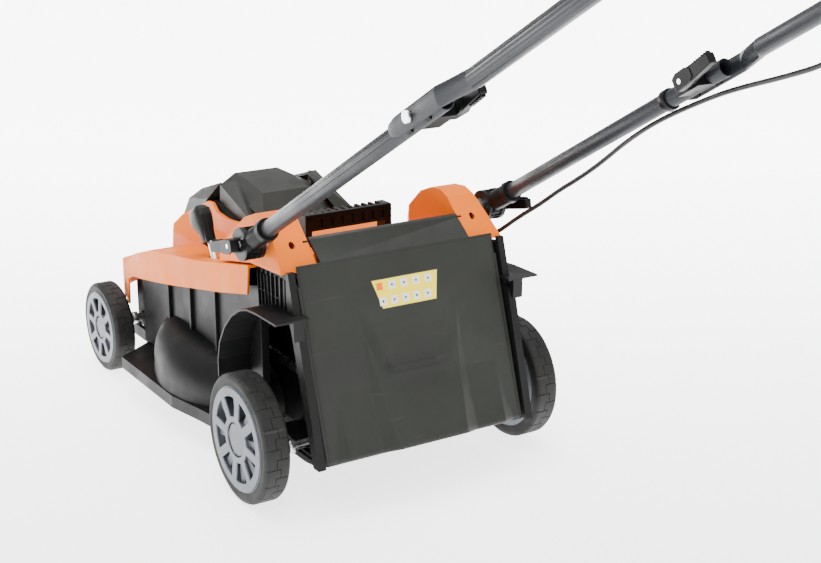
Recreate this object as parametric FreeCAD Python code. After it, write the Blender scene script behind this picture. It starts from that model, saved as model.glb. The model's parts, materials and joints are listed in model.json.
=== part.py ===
import FreeCAD, Part
import math
import os

V = FreeCAD.Vector

# Cordless rotary lawn mower, millimetres.  +X is the operator's left, +Y points back to the
# operator, +Z is up.  The geometry is laid out from the middle of the rear axle's ground line
# and is moved by ORIGIN_SHIFT when it is saved, so that the origin is the middle of the footprint.
# Outlines are lists of (y, z), (x, z) or (x, y) corners of the real panels.

# ---- driving dimensions ----
REAR_WHEEL_R = 85.0
FRONT_WHEEL_R = 70.0
REAR_TYRE_W = 35.5
FRONT_TYRE_W = 32.0
REAR_FACE_X = 223.5            # outer face of the rear tyres
FRONT_FACE_X = 196.5           # outer face of the front tyres
FRONT_AXLE_Y = -546.0
RIM_RATIO = 0.816              # rim radius over tyre radius
WALL = 3.0                     # moulded wall thickness
FIT = 0.05                     # radial running clearance of a shaft in its bore

BOX_X = 150.0                  # half width of the deck's box
NOSE_BOX_X = 126.0             # half width of the deck between the front wheels
BAND_X = 170.0                 # half width of the orange band
DOME_Y = -268.0                # blade and motor axis
DOME_R = 205.0
DOME_TOP = 134.0               # flat under the motor
DOME_TILT = 4.5                # degrees, front edge up
LIP_Z = 40.0                   # lower edge of the deck
LIP_TOP = 58.0
TUNNEL_X = 106.0               # half width of the grass tunnel

BLADE_R = 184.0
BLADE_Z = 50.0
MOTOR_R = 48.0
MOTOR_SEAT_R = 68.0
MOTOR_H = 82.0
SHAFT_R = 6.0
SHAFT_FOOT = 66.0
BLADE_BOLT_R = 4.0
FAN_R = 58.0
FAN_VANES = 12

CRANK_ROD_R = 6.0
SPINDLE_R = 5.0
FRONT_PIVOT = (-501.0, 92.0)   # (y, z) of the front height axle's pivot
REAR_PIVOT = (45.0, 80.0)      # (y, z) of the rear height axle's pivot
LINK_ARM = 68.0                # pivot to link pin, front, rear and lever alike
LINK_X = 116.0
LEVER_X = 142.0
LEVER_Y = -205.5
LEVER_LEAN = 29.0              # degrees forward of upright

TUBE_R = 10.5
TUBE_X = 182.0
HANDLE_PIVOT = (-28.0, 330.6)  # (y, z)
HANDLE_ANGLE = 29.5            # degrees above level
CLIP_S = 398.0
MID_BOLT = 462.0               # distances along the handle from its pivot
LOWER_TUBE_END = 503.0
CRUSHED_START = 418.0          # the upper tube is pressed flat from here ...
CRUSHED_END = 515.0            # ... to here, and is round again from
ROUND_START = 560.0
UPPER_TUBE_BEND = 968.0
CORNER_R = 55.0
SWITCH_S = 845.0               # middle of the switch box along the right-hand tube
BAIL_S = 880.0                 # pivot of the bail

FLAP_HINGE = (-6.0, 326.0)     # (y, z)
LID_HINGE = (-479.0, 241.0)    # (y, z)
FLAP_HALF = 149.0
FLAP_ROD_R = 3.0
CABLE_R = 3.0
PIVOT_BOLT_R = 4.0
JOINT_BOLT_R = 3.0
LINK_PIN_R = 3.0
LEVER_PIN_R = 4.0
LEVER_ROD_R = 4.0
BAIL_WIRE_R = 3.5
GRIP_R = 14.5
TUBE_WALL = 1.2
SPOKES = 8

ORIGIN_SHIFT = V(0, -99.57, 0)

SIN, COS = math.sin(math.radians(HANDLE_ANGLE)), math.cos(math.radians(HANDLE_ANGLE))


# ---- shape helpers ----
def polygon(points):
    return Part.Wire(Part.makePolygon(points + [points[0]]))


def prism(points, direction):
    return Part.Face(polygon(points)).extrude(direction)


def prism_yz(outline, x0, x1):
    """Outline of (y, z) corners, swept across from x0 to x1."""
    return prism([V(x0, y, z) for y, z in outline], V(x1 - x0, 0, 0))


def prism_xz(outline, y0, y1):
    return prism([V(x, y0, z) for x, z in outline], V(0, y1 - y0, 0))


def prism_xy(outline, z0, z1):
    return prism([V(x, y, z0) for x, y in outline], V(0, 0, z1 - z0))


def block(x0, x1, y0, y1, z0, z1):
    return Part.makeBox(x1 - x0, y1 - y0, z1 - z0, V(x0, y0, z0))


def rod(start, end, radius):
    start, end = V(*start), V(*end)
    return Part.makeCylinder(radius, (end - start).Length, start, end - start)


def rod_x(x0, x1, centre, radius):
    """Cylinder along X about the (y, z) centre."""
    return Part.makeCylinder(radius, x1 - x0, V(x0, centre[0], centre[1]), V(1, 0, 0))


def ring_x(x0, x1, centre, outer, inner):
    return rod_x(x0, x1, centre, outer).cut(rod_x(x0 - 1, x1 + 1, centre, inner))


def mirrored(shape):
    return shape.mirror(V(0, 0, 0), V(1, 0, 0))


def both(shape):
    """The shape and its mirror image on the other side, as one group."""
    return fuse([shape, mirrored(shape)])


def fuse(shapes):
    result = shapes[0]
    if len(shapes) > 1:
        result = result.multiFuse(shapes[1:])
    return result.removeSplitter()


def cut(shape, *tools):
    for tool in tools:
        shape = shape.cut(tool)
    return shape


def common(shape, *tools):
    for tool in tools:
        shape = shape.common(tool)
    return shape


def symmetric(outline):
    """Mirror a half outline of (x, other) corners to the negative side."""
    return outline + [(-x, other) for x, other in reversed(outline)]


def grown(outline, distance):
    """The outline moved outwards by the distance (inwards when it is negative), corners kept sharp."""
    area = sum(a[0] * b[1] - b[0] * a[1] for a, b in zip(outline, outline[1:] + outline[:1]))
    turn = 1.0 if area > 0 else -1.0
    result = []
    for before, here, after in zip(outline[-1:] + outline[:-1], outline, outline[1:] + outline[:1]):
        lines = []
        for start, end in ((before, here), (here, after)):
            dx, dy = end[0] - start[0], end[1] - start[1]
            size = math.hypot(dx, dy)
            normal = (turn * dy / size, -turn * dx / size)
            lines.append((normal, normal[0] * here[0] + normal[1] * here[1] + distance))
        (n1, c1), (n2, c2) = lines
        det = n1[0] * n2[1] - n1[1] * n2[0]
        result.append(((c1 * n2[1] - c2 * n1[1]) / det, (n1[0] * c2 - n2[0] * c1) / det))
    return result


def along(distance, x, lift=0.0):
    """Point on the handle's centre plane: distance from the pivot, height above its line."""
    y = HANDLE_PIVOT[0] + distance * COS - lift * SIN
    z = HANDLE_PIVOT[1] + distance * SIN + lift * COS
    return V(x, y, z)


def handle_rod(x, start, end, radius):
    a, b = along(start, x), along(end, x)
    return Part.makeCylinder(radius, (b - a).Length, a, b - a)


def rounded_path(points, radii):
    """Wire of straight runs joined by tangent arcs of the given radii."""
    edges = []
    last = points[0]
    for before, here, after, radius in zip(points, points[1:], points[2:], radii):
        into = (before - here).normalize()
        out = (after - here).normalize()
        half = into.getAngle(out) / 2.0
        reach = radius / math.tan(half)
        start = here + into * reach
        end = here + out * reach
        middle_dir = (into + out).normalize()
        middle = here + middle_dir * (radius / math.sin(half) - radius)
        edges.append(Part.LineSegment(last, start).toShape())
        edges.append(Part.Arc(start, middle, end).toShape())
        last = end
    edges.append(Part.LineSegment(last, points[-1]).toShape())
    return Part.Wire(edges)


def swept_tube(points, radii, radius):
    path = rounded_path(points, radii)
    direction = points[1] - points[0]
    circle = Part.Wire(Part.makeCircle(radius, points[0], direction))
    return path.makePipeShell([circle], True, False)


def save(name, shape):
    shape = shape.copy()
    shape.translate(ORIGIN_SHIFT)
    solids = shape.Solids
    result = solids[0] if len(solids) == 1 else Part.makeCompound(solids)
    result.exportStep("parts/" + name + ".step")
    print(name, len(solids), "solids", "valid" if result.isValid() else "INVALID")


# ---- outlines of the body panels ----
DECK_SIDE = [(-608, 62), (-608, 118), (-540, 150), (-475, 172), (-318, 206), (-154, 240), (-57, 260),
             (-57, 288), (20, 293), (27, 290), (92, 72), (92, 62)]
DECK_PLAN = symmetric([(88, -606), (112, -592), (NOSE_BOX_X, -555), (NOSE_BOX_X, -492), (BOX_X, -476),
                       (BOX_X, 95)])
SKIRT_PLAN = symmetric([(98, -612), (130, -592), (130, -486), (153, -470), (178, -452), (206.5, -433),
                        (206.5, -246), (194, -182), (183, -110), (158, -92)])
BAND_SIDE = [(-524, 112), (-528, 172), (-459, 208), (-385, 232), (-222, 257), (-60, 291), (-65, 251),
             (-154, 230), (-318, 196), (-483, 165), (-508, 154), (-512, 112)]
BAND_PLAN = symmetric([(150, -546), (157, -530), (160, -505), (167, -440), (BAND_X, -380), (BAND_X, -50)])
NOSE_SIDE = [(-628, 112), (-630, 138), (-600, 156), (-521, 186), (-459, 208), (-380, 230), (-380, 190),
             (-500, 152), (-545, 112)]
NOSE_PLAN = symmetric([(92, -631), (122, -612), (151, -552), (157, -532), (157, -360)])
CROWN_SIDE = [(-478, 200), (-478, 212), (-462, 238), (-435, 265), (-349, 303), (-335, 303.5), (-320, 293),
              (-286, 290), (-200, 296), (-182, 288), (-66, 288), (-46, 302), (-22, 302), (-22, 262),
              (-200, 210)]
CROWN_FRONT = symmetric([(116, 195), (108, 238), (94, 268), (91, 310)])
CROWN_PLAN = symmetric([(86, -480), (112, -440), (112, -20)])
HOOD_SIDE = [(-486, 232), (-486, 238), (-452, 273), (-431, 292), (-379, 323), (-345, 331), (-326, 333.5),
             (-290, 324), (-262, 300), (-245, 284), (-245, 232)]
HOOD_FRONT = symmetric([(86, 230), (86, 284), (75, 328), (37, 334)])
HOOD_PLAN = symmetric([(50, -487), (86, -455), (86, -262), (78, -244)])
FLAP_SIDE = [(-3, 331), (27, 308), (103, 68), (99, 67), (23, 304.5), (-5, 326)]


DECK_TOP_OPENING = [(-604, 200), (-604, 110), (-540, 143), (-475, 166), (-318, 200), (-154, 234), (-60, 254),
                    (-60, 284), (-30, 284), (-30, 420), (-604, 420)]
GRASS_WAY = [(-165, 128), (-26, 283.5), (-10, 283.5), (57, 112), (-58, 67), (-165, 67)]
WALL_WINDOW = [(-52, 70), (-52, 236), (32, 236), (84, 70)]
GUARD_TOP = [(-106, 131), (-106, 155), (-99, 182), (-82, 208), (-59, 230), (-35, 244), (-14, 250.5),
             (12, 252.5), (66, 252.5)]
GUARD_UNDER = [(66, 250), (12, 250), (-13, 248), (-34, 241.6), (-57.6, 227.8), (-80, 206.4), (-96.6, 181),
               (-103.5, 155), (-103.5, 131)]
WHEEL_BRACKET = [(-522, 146), (-474, 158), (-458, 150), (-458, 88), (-500, 74), (-522, 80)]
TUNNEL_ROOF = [(-172, 133), (-26, 290), (-8, 290), (-8, 287), (-24, 287), (-168, 130)]
TUNNEL_WALL = [(-172, 130), (-26, 289), (-8, 289), (60, 110), (60, 62), (-92, 62)]
TUNNEL_FLOOR = [(-60, 60), (60, 106), (60, 109), (-60, 63)]
BAND_HOLLOW = [(-520, 100), (-524, 172), (-457, 204.5), (-384, 228.5), (-222, 253.7), (-50, 289), (-50, 100)]
NOSE_HOLLOW = [(-625, 90), (-627, 136), (-599, 152.5), (-520, 182.5), (-457, 204.5), (-370, 229), (-370, 90)]
COVER_WELL = [(-470, 150), (-470, 206), (-440, 225), (-200, 270), (-25, 285), (-25, 150)]
SHOULDER_BELOW = [(-148, 262), (-148, 279), (-60, 300), (16, 303), (16, 262)]
BRACKET_SIDE = [(-56, 250), (-56, 310), (-42, 338), (-24, 334), (-12, 320), (-6, 250)]
KNOB_SECTION = [(-7, 68), (7, 68), (11, 100), (10, 114), (2, 121), (-14, 121), (-20, 108), (-15, 94)]


def deck_solid(inset):
    body = prism_yz(grown(DECK_SIDE, -inset), -BOX_X - 10, BOX_X + 10)
    return common(body, prism_xy(grown(DECK_PLAN, -inset), 0, 400))


def dome_solid(inset):
    """Blade housing: a round drum with a soft shoulder."""
    radius, top = DOME_R - inset, DOME_TOP - inset
    low, shoulder = LIP_TOP - 3 - 20 * (inset > 0), 76.0
    profile = [Part.makeLine(V(0, 0, low), V(radius, 0, low)),
               Part.makeLine(V(radius, 0, low), V(radius - 1, 0, shoulder)),
               Part.Arc(V(radius - 1, 0, shoulder), V(radius - 14, 0, top - 17),
                        V(radius - 52, 0, top)).toShape(),
               Part.makeLine(V(radius - 52, 0, top), V(0, 0, top)),
               Part.makeLine(V(0, 0, top), V(0, 0, low))]
    drum = Part.Face(Part.Wire(profile)).revolve(V(0, 0, 0), V(0, 0, 1), 360)
    drum.rotate(V(0, 0, shoulder), V(1, 0, 0), -DOME_TILT)
    drum.translate(V(0, DOME_Y, 0))
    level = Part.makeCylinder(MOTOR_SEAT_R, top - 100, V(0, DOME_Y, 100))
    above = Part.makeCylinder(MOTOR_SEAT_R, 40, V(0, DOME_Y, top))
    return drum.fuse(level).cut(above)


def wheel_guard():
    """Thin arched plate over a rear wheel, from a low front edge over the top to a level rear part."""
    plate = prism_yz(GUARD_TOP + GUARD_UNDER, BOX_X - 1, 196.5)
    gusset = prism_yz([(40, 252), (66, 252), (66, 225), (52, 250)], BOX_X + 7, 172)
    return fuse([plate, gusset])


def cheek():
    """Slanted side wall beside the flap, with a thicker rear edge that widens below the guard."""
    web = prism_yz([(-55, 62), (-55, 292), (28, 296), (98, 67), (60, 62)], 152.5, 157.5)
    edge = prism_yz([(28.5, 303), (34, 303), (104, 67), (90, 66), (28.5, 265)], 152.5, 162)
    flange = prism_yz([(47, 246), (60, 236), (107, 67), (94, 67)], 152.5, 163.5)
    join = prism_yz([(-55, 62), (-55, 288), (6, 288), (6, 62)], BOX_X - 1, 157.5)
    return fuse([web, edge, flange, join])


def fins():
    """Cooling fins behind the band, ribs on the side wall and the front wheel bracket."""
    parts = [block(BOX_X - 1, 160, y, y + 2.5, 222, 290) for y in range(-54, 20, 12)]
    parts += [block(BOX_X - 1, BOX_X + 5, y - 3, y + 3, 100, top)
              for y, top in ((-365, 194), (-287, 210), (-202, 228))]
    parts.append(prism_yz(WHEEL_BRACKET, NOSE_BOX_X - 1, 141))
    return fuse(parts)


def tunnel():
    """Grass tunnel from the blade housing up to the flap: roof, side walls and sloping floor."""
    roof = prism_yz(TUNNEL_ROOF, -TUNNEL_X, TUNNEL_X)
    side = prism_yz(TUNNEL_WALL, TUNNEL_X - WALL, TUNNEL_X)
    floor = prism_yz(TUNNEL_FLOOR, -TUNNEL_X, TUNNEL_X)
    return fuse([roof, both(side), floor])


def deck_shell():
    outer = deck_solid(0)
    walls = cut(outer, deck_solid(WALL), block(-147, 147, -600, 120, 55, 70))
    walls = cut(walls, prism_yz(DECK_TOP_OPENING, -NOSE_BOX_X + WALL, NOSE_BOX_X - WALL))
    walls = cut(walls, block(-BOX_X + WALL, BOX_X - WALL, -470, -3, 140, 420))
    walls = cut(walls, block(-152, 152, -4, 120, 60, 400).cut(both(block(147, 152, -4, 20, 60, 400))))
    skirt = cut(prism_xy(SKIRT_PLAN, LIP_Z, LIP_TOP), prism_xy(grown(SKIRT_PLAN, -WALL), 0, LIP_TOP - WALL))
    nose_bottom = block(-NOSE_BOX_X + WALL, NOSE_BOX_X - WALL, -604, -452, 50, 60)
    skirt = cut(skirt, nose_bottom)
    sides = fuse([wheel_guard(), cheek(), fins()])
    shell = fuse([walls, skirt, dome_solid(0), tunnel(), sides, mirrored(sides)])
    grass_way = prism_yz(GRASS_WAY, -TUNNEL_X + WALL, TUNNEL_X - WALL)
    shell = cut(shell, dome_solid(WALL), grass_way, rod((0, DOME_Y, 100), (0, DOME_Y, 140), 22))
    shell = cut(shell, both(prism_yz(WALL_WINDOW, TUNNEL_X + 1, 160)))
    front_bore = rod_x(-200, 200, FRONT_PIVOT, CRANK_ROD_R + 3)
    rear_bore = rod_x(-200, 200, REAR_PIVOT, CRANK_ROD_R + 3)
    return cut(shell, front_bore, rear_bore)


def top_cover():
    band = common(prism_yz(BAND_SIDE, -200, 200), prism_xy(BAND_PLAN, 0, 400))
    nose = common(prism_yz(NOSE_SIDE, -200, 200), prism_xy(NOSE_PLAN, 0, 400))
    crown = common(prism_yz(CROWN_SIDE, -200, 200), prism_xz(CROWN_FRONT, -700, 100),
                   prism_xy(CROWN_PLAN, 0, 400))
    band_hollow = common(prism_yz(BAND_HOLLOW, -200, 200), prism_xy(grown(BAND_PLAN, -WALL), 0, 400))
    nose_hollow = common(prism_yz(NOSE_HOLLOW, -200, 200), prism_xy(grown(NOSE_PLAN, -WALL), 0, 400))
    crown_hollow = common(prism_yz(grown(CROWN_SIDE, -WALL), -200, 200),
                          prism_xz(grown(CROWN_FRONT, -WALL), -700, 100),
                          prism_xy(grown(CROWN_PLAN, -WALL), 0, 400))
    drop = common(prism_yz(COVER_WELL, -106, 106), prism_xy(grown(CROWN_PLAN, -WALL), 0, 400))
    cover = cut(fuse([band, nose, crown]), band_hollow, nose_hollow, crown_hollow, drop)
    hood_hole = prism_xy(grown(HOOD_PLAN, 1.0), 150, 400)
    lever_slot = block(LEVER_X - 5.5, LEVER_X + 5.5, -236, -200, 225, 300)
    rear_relief = both(block(112.5, 172, -59.5, 0, 200, 330))
    tunnel_room = block(-TUNNEL_X - 1, TUNNEL_X + 1, -33, 0, 200, 290.5)
    cover = cut(cover, hood_hole, lever_slot, rear_relief, tunnel_room)
    return max(cover.Solids, key=lambda solid: solid.Volume)


SHOULDER_SIDE = [(-152, 275), (-152, 292), (-128, 316), (-95, 345), (-70, 355), (-45, 357), (-28, 350),
                 (-2, 326), (20, 304), (24, 299), (-10, 297), (-60, 294)]
SHOULDER_FRONT = [(113, 262), (166, 262), (166, 300), (153, 358), (113, 358)]
SHOULDER_PLAN = [(113, 40), (113, -125), (128, -153), (166, -153), (166, 40)]


def shoulder():
    """Orange cover over one handle bracket, open below, with the boss and flap rod holes."""
    outer = common(prism_yz(SHOULDER_SIDE, 100, 180), prism_xz(SHOULDER_FRONT, -200, 60),
                   prism_xy(SHOULDER_PLAN, 0, 400))
    inner = common(prism_yz(grown(SHOULDER_SIDE, -WALL), 100, 180),
                   prism_xz(grown(SHOULDER_FRONT, -WALL), -200, 60),
                   prism_xy(grown(SHOULDER_PLAN, -WALL), 0, 400))
    below = prism_yz(SHOULDER_BELOW, 116, 163)
    boss_hole = rod_x(140, 180, HANDLE_PIVOT, 11)
    screw_hole = rod((136.2, 20, 326), (136.2, -12, 326), 4.2)
    rod_hole = rod_x(110, 120, FLAP_HINGE, FLAP_ROD_R + FIT)
    return cut(outer, inner, below, boss_hole, screw_hole, rod_hole)


def handle_brackets():
    """Steel brackets inside the shoulders, each with the boss that the handle turns on."""
    plate = prism_yz(BRACKET_SIDE, 138, 143)
    foot = block(138, 146.5, -54, -8, 250, 256)
    boss = rod_x(142, 167.5, HANDLE_PIVOT, 10.5)
    bore = rod_x(130, 200, HANDLE_PIVOT, PIVOT_BOLT_R + FIT)
    return both(cut(fuse([plate, foot, boss]), bore))


def pivot_bolts():
    shank = rod_x(132, 196.5, HANDLE_PIVOT, PIVOT_BOLT_R)
    head = rod_x(131, 137.5, HANDLE_PIVOT, 7)
    return both(fuse([shank, head]))


def handle_socket(side):
    """Black fitting that holds the end of a lower tube and turns on the bracket's boss."""
    boss = rod_x(168, 196, HANDLE_PIVOT, 19)
    sleeve = handle_rod(TUBE_X, 4, 62, 13.5)
    bore = handle_rod(TUBE_X, 20, 80, TUBE_R + FIT)
    socket = cut(fuse([boss, sleeve]), bore, rod_x(130, 200, HANDLE_PIVOT, PIVOT_BOLT_R + FIT))
    return socket if side > 0 else mirrored(socket)


def lower_tube(side):
    tube = handle_rod(TUBE_X, 20.5, LOWER_TUBE_END, TUBE_R)
    hollow = handle_rod(TUBE_X, 60, LOWER_TUBE_END + 5, TUBE_R - TUBE_WALL)
    centre = along(MID_BOLT, 0)
    tube = cut(tube, hollow, rod_x(100, 250, (centre.y, centre.z), JOINT_BOLT_R + FIT))
    return tube if side > 0 else mirrored(tube)


def cam_lever(x_in, x_out, pivot, direction, length):
    """Quick-release lever: a tapered paddle whose wide end sits on the bolt's end."""
    up = V(0, -direction.z, direction.y)
    base = V(x_in, pivot.y, pivot.z)
    corners = [(-5, 8), (12, 9), (length, 6.5)]
    outline = [base + direction * r + up * h for r, h in corners]
    outline += [base + direction * r - up * h for r, h in reversed(corners)]
    return prism(outline, V(x_out - x_in, 0, 0))


def joint_saddles():
    """Black pads on the inner side of the lower tubes under the upper cam levers."""
    centre = along(MID_BOLT, 0)
    pad = block(157.5, TUBE_X, -18, 18, -10, 9)
    pad.rotate(V(0, 0, 0), V(1, 0, 0), HANDLE_ANGLE)
    pad.translate(V(0, centre.y, centre.z))
    pad = cut(pad, handle_rod(TUBE_X, 300, 500, TUBE_R + FIT),
              rod_x(100, 250, (centre.y, centre.z), JOINT_BOLT_R + FIT))
    return both(max(pad.Solids, key=lambda solid: solid.Volume))


def joint_bolts():
    centre = along(MID_BOLT, 0)
    middle = (centre.y, centre.z)
    shank = rod_x(157, 203, middle, JOINT_BOLT_R)
    head = rod_x(201, 205, middle, 6.5)
    return both(fuse([shank, head]))


def oval(distance, x_mid, half_x, half_up):
    """Closed oval section of the upper tube, square to the handle's line."""
    centre = along(distance, x_mid)
    across, up = V(1, 0, 0), V(0, -SIN, COS)
    ring = []
    for k in range(16):
        turn = 2 * math.pi * k / 16
        ring.append(centre + across * (half_x * math.cos(turn)) + up * (half_up * math.sin(turn)))
    return polygon(ring)


def upper_tube():
    """The U of the upper handle; each end is pressed flat against the outside of a lower tube."""
    points = [along(ROUND_START, TUBE_X), along(UPPER_TUBE_BEND, TUBE_X),
              along(UPPER_TUBE_BEND, -TUBE_X), along(ROUND_START, -TUBE_X)]
    outer = swept_tube(points, [CORNER_R, CORNER_R], TUBE_R)
    inner = swept_tube(points, [CORNER_R, CORNER_R], TUBE_R - TUBE_WALL)
    flat_x, flat_half = TUBE_X + 14.6, 4.0
    sections = [oval(CRUSHED_START, flat_x, flat_half, 8), oval(CRUSHED_START + 12, flat_x, flat_half, 11),
                oval(CRUSHED_END, flat_x, flat_half, 11)]
    flat = Part.makeLoft(sections, True, True)
    flare = Part.makeLoft([oval(CRUSHED_END, flat_x, flat_half, 11),
                           oval(ROUND_START + 1, TUBE_X, TUBE_R - 0.1, TUBE_R - 0.1)], True, True)
    trough = handle_rod(TUBE_X, CRUSHED_END - 6, ROUND_START + 8, TUBE_R - TUBE_WALL)
    ends = both(cut(fuse([flat, flare]), trough))
    centre = along(MID_BOLT, 0)
    pivot = along(BAIL_S, 0)
    body = fuse([cut(outer, inner), ends])
    return cut(body, rod_x(-250, 250, (centre.y, centre.z), JOINT_BOLT_R + FIT),
               rod_x(TUBE_X - TUBE_R - 2, TUBE_X, (pivot.y, pivot.z), BAIL_WIRE_R + FIT))


def grip():
    ends = along(UPPER_TUBE_BEND, 0)
    middle = (ends.y, ends.z)
    return ring_x(-118, 118, middle, GRIP_R, TUBE_R + FIT)


def switch_box():
    """Housing clamped round the right-hand tube, with a well for the lock button."""
    box = block(-212, -152, -52, 52, -30, 26)
    bevel = prism_yz([(-60, 40), (-60, 10), (-36, 40)], -240, -150)
    box = cut(box, bevel, block(-194.5, -169.5, -12, 12, 14, 40))
    box.rotate(V(0, 0, 0), V(1, 0, 0), HANDLE_ANGLE)
    box.translate(along(SWITCH_S, 0))
    centre = along(BAIL_S, 0)
    return cut(box, handle_rod(-TUBE_X, 700, 1000, TUBE_R + FIT),
               rod_x(-163, -150, (centre.y, centre.z), 4.0))


def lock_button():
    button = block(-192, -172, -10, 10, 18, 31)
    button.rotate(V(0, 0, 0), V(1, 0, 0), HANDLE_ANGLE)
    button.translate(along(SWITCH_S, 0))
    return button


def bail_bar():
    """Wire bail below the grip; its ends turn in the switch box and on the left tube."""
    pivot, low = along(BAIL_S, 0), along(BAIL_S + 48, 0, -45)
    points = [V(178, pivot.y, pivot.z), V(160, pivot.y, pivot.z), V(112, low.y, low.z),
              V(-112, low.y, low.z), V(-144, pivot.y, pivot.z), V(-160, pivot.y, pivot.z)]
    return swept_tube(points, [6, 16, 16, 5], BAIL_WIRE_R)


def carry_handle():
    """Ribbed carrying bar behind the battery lid, on two legs."""
    bar = block(-72, 62, -128, -104, 308, 331)
    slots = [block(x, x + 6, -130, -110, 314, 340) for x in range(-58, 52, 11)]
    back = [block(x, x + 7, -106.5, -100, 311, 324) for x in range(-60, 50, 16)]
    legs = [block(-72, -62, -128, -104, 288.5, 310), block(52, 62, -128, -104, 288.5, 310)]
    return cut(fuse([bar] + legs), *(slots + back))


def hood():
    """Faceted battery lid."""
    def envelope(inset):
        return common(prism_yz(grown(HOOD_SIDE, -inset), -200, 200),
                      prism_xz(grown(HOOD_FRONT, -inset), -600, 0),
                      prism_xy(grown(HOOD_PLAN, -inset), 0, 400))
    shell = cut(envelope(0), envelope(WALL), block(-200, 200, -600, 0, 200, 236))
    return fuse([shell, rod_x(-40, 40, LID_HINGE, 5)])


def battery_tray():
    outer = block(-82, 82, -452, -322, 168, 234)
    inner = block(-79.5, 79.5, -449.5, -324.5, 170.5, 250)
    rib = block(-1.2, 1.2, -450, -324, 170, 232)
    return fuse([cut(outer, inner), rib])


def battery_pack(side):
    pack = block(3, 78, -447, -327, 172, 246)
    finger_grips = [block(18, 64, -448, -441, 222, 236), block(18, 64, -333, -326, 222, 236)]
    pack = cut(pack, *finger_grips)
    return pack if side > 0 else mirrored(pack)


def safety_key():
    return fuse([block(-9, 9, -300, -292, 262, 284), block(-5, 5, -298, -294, 240, 264)])


def key_socket():
    return cut(block(-20, 20, -306, -286, 218.5, 259), block(-5.5, 5.5, -298.5, -293.5, 232, 262))


def control_board():
    board = block(-60, 60, -460, -330, 158, 160)
    chips = [block(x, x + 16, -440, -415, 160, 166) for x in (-50, -20, 14, 38)]
    return fuse([board] + chips)


def motor_housing():
    can = Part.makeCylinder(MOTOR_R, MOTOR_H, V(0, DOME_Y, DOME_TOP + 2))
    flange = Part.makeCylinder(66, 6, V(0, DOME_Y, DOME_TOP))
    bore = Part.makeCylinder(MOTOR_R - 5, 70, V(0, DOME_Y, DOME_TOP + 10))
    neck = Part.makeCylinder(20, 12, V(0, DOME_Y, DOME_TOP - 8))
    shaft = Part.makeCylinder(SHAFT_R + FIT, 110, V(0, DOME_Y, DOME_TOP - 20))
    return cut(fuse([can, flange, neck]), bore, shaft)


def motor_rotor():
    shaft = Part.makeCylinder(SHAFT_R, 146, V(0, DOME_Y, SHAFT_FOOT))
    core = Part.makeCylinder(34, 48, V(0, DOME_Y, DOME_TOP + 18))
    return fuse([shaft, core]).cut(Part.makeCylinder(BLADE_BOLT_R + FIT, 8, V(0, DOME_Y, SHAFT_FOOT - 1)))


def cooling_fan():
    disc = Part.makeCylinder(FAN_R, 3, V(0, DOME_Y, 104))
    hub = Part.makeCylinder(14, 14, V(0, DOME_Y, 100))
    vanes = []
    for k in range(FAN_VANES):
        vane = block(16, FAN_R - 2, DOME_Y - 1, DOME_Y + 1, 88, 105)
        vane.rotate(V(0, DOME_Y, 0), V(0, 0, 1), 360 / FAN_VANES * k)
        vanes.append(vane)
    return fuse([disc, hub] + vanes).cut(Part.makeCylinder(SHAFT_R + FIT, 80, V(0, DOME_Y, 60)))


def blade_carrier():
    boss = Part.makeCylinder(13, 28, V(0, DOME_Y, 58))
    plate = Part.makeCylinder(26, 5, V(0, DOME_Y, BLADE_Z + 4.2))
    return fuse([boss, plate]).cut(Part.makeCylinder(SHAFT_R + FIT, 60, V(0, DOME_Y, SHAFT_FOOT))).cut(
        Part.makeCylinder(BLADE_BOLT_R + FIT, 40, V(0, DOME_Y, 40)))


def blade():
    half = [(0, -27), (120, -27), (BLADE_R - 2, -22), (BLADE_R - 2, 20), (60, 27), (0, 27)]
    plan = [(x, y + DOME_Y) for x, y in half] + [(-x, DOME_Y - y) for x, y in half[1:-1]]
    bar = prism_xy(plan, BLADE_Z, BLADE_Z + 4)
    bar = common(bar, Part.makeCylinder(BLADE_R, 10, V(0, DOME_Y, BLADE_Z - 1)))
    lift = block(BLADE_R - 46, BLADE_R - 6, DOME_Y + 14, DOME_Y + 18, BLADE_Z + 3, BLADE_Z + 16)
    opposite = lift.copy()
    opposite.rotate(V(0, DOME_Y, 0), V(0, 0, 1), 180)
    return fuse([bar, lift, opposite]).cut(Part.makeCylinder(BLADE_BOLT_R + FIT, 40, V(0, DOME_Y, 40)))


def blade_bolt():
    head = Part.makeCylinder(11, 7, V(0, DOME_Y, BLADE_Z - 7.2))
    shank = Part.makeCylinder(BLADE_BOLT_R, 22, V(0, DOME_Y, BLADE_Z - 1))
    return fuse([head, shank])


def flap():
    """Rear discharge flap on its hinge rod, with turned-in side edges."""
    sheet = prism_yz(FLAP_SIDE, -FLAP_HALF, FLAP_HALF)
    outline = symmetric([(FLAP_HALF, 60), (FLAP_HALF, 282), (111.5, 293), (111.5, 340)])
    sheet = common(sheet, prism_xz(outline, -50, 150))
    returns = prism_yz([(30, 285), (100, 69), (88, 69), (20, 285)], FLAP_HALF - 3, FLAP_HALF)
    barrel = rod_x(-111.5, 111.5, FLAP_HINGE, 6.5)
    return fuse([sheet, both(returns), barrel]).cut(rod_x(-130, 130, FLAP_HINGE, FLAP_ROD_R + FIT))


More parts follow.
